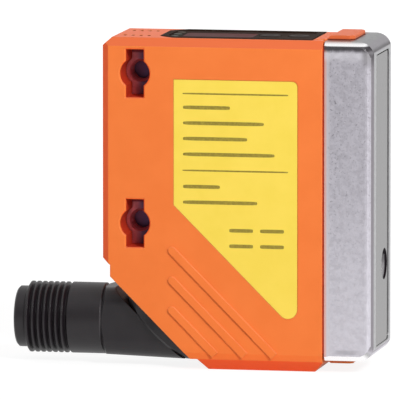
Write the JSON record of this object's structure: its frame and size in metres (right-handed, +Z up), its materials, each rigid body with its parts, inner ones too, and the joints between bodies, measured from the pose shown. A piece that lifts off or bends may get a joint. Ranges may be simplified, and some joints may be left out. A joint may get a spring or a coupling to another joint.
{
  "type": "laser photoelectric switch",
  "caption": "Flat block housing of a laser photoelectric switch with a metal front frame, front window, top display panel, keyhole mounting openings and a rear swivel plug.",
  "frame": {"origin": "on the underside of the foot, at half the depth of the housing and half its thickness", "axes": "+X is the sensing direction, out of the front window; +Z is up; Y is the thickness, with the labelled side on -Y"},
  "size_m": [0.0626, 0.0182, 0.056],
  "materials": {
    "orange_plastic": "fine moulded grain",
    "cast_metal": "bead-blasted cast metal with bright bevels",
    "seal_rubber": "matt",
    "window_pane": "polished dark pane",
    "lens": "polished",
    "filter_glass": "polished",
    "black_plastic": "satin moulded",
    "panel_plastic": "fine satin",
    "board": "lacquered board",
    "chip": "matt moulded",
    "header_plastic": "satin",
    "lead_film": "film",
    "gold_plate": "gold plated",
    "display_red": "dark red pane",
    "button_plastic": "satin",
    "clear_plastic": "clear rod",
    "dark_steel": "dark plated",
    "spring_steel": "bright",
    "label_film": "printed film"
  },
  "bodies": {
    "root": {"housing": "orange_plastic", "front_frame": "cast_metal", "frame_seal": "seal_rubber", "front_window": "window_pane", "window_seal": "seal_rubber", "emitter_lens": "lens", "optics_carrier": "black_plastic", "receiver_lens": "lens", "receiver_filter": "filter_glass", "laser_diode": "gold_plate", "receiver_board": "board", "receiver_chip": "chip", "main_board": "board", "board_chips": "chip", "lead_header": "header_plastic", "flat_lead": "lead_film", "display_board": "board", "display_module": "chip", "display_window": "display_red", "top_panel": "panel_plastic", "panel_seal": "seal_rubber", "button_switches": "header_plastic", "indicator_leds": "clear_plastic", "light_guides": "clear_plastic", "upper_insert": "dark_steel", "lower_insert": "dark_steel", "side_label": "label_film"},
    "connector": {"swivel_elbow": "black_plastic", "contact_carrier": "black_plastic", "contact_pins": "gold_plate", "swivel_seal": "seal_rubber", "swivel_clip": "spring_steel"},
    "set_key": {"set_button": "button_plastic"},
    "mode_key": {"mode_button": "button_plastic"}
  },
  "joints": [
    {"name": "connector_swivel", "type": "hinge", "parent": "root", "child": "connector", "pos_m": [-0.0134, 0, 0.00727], "axis": [-0.7071, 0, -0.7071], "range_deg": [-90, 180]},
    {"name": "set_press", "type": "slide", "parent": "root", "child": "set_key", "axis": [0, 0, -1], "range_m": [0, 0.00035], "stiffness_N_per_m": 3000},
    {"name": "mode_press", "type": "slide", "parent": "root", "child": "mode_key", "axis": [0, 0, -1], "range_m": [0, 0.00035], "stiffness_N_per_m": 3000}
  ]
}
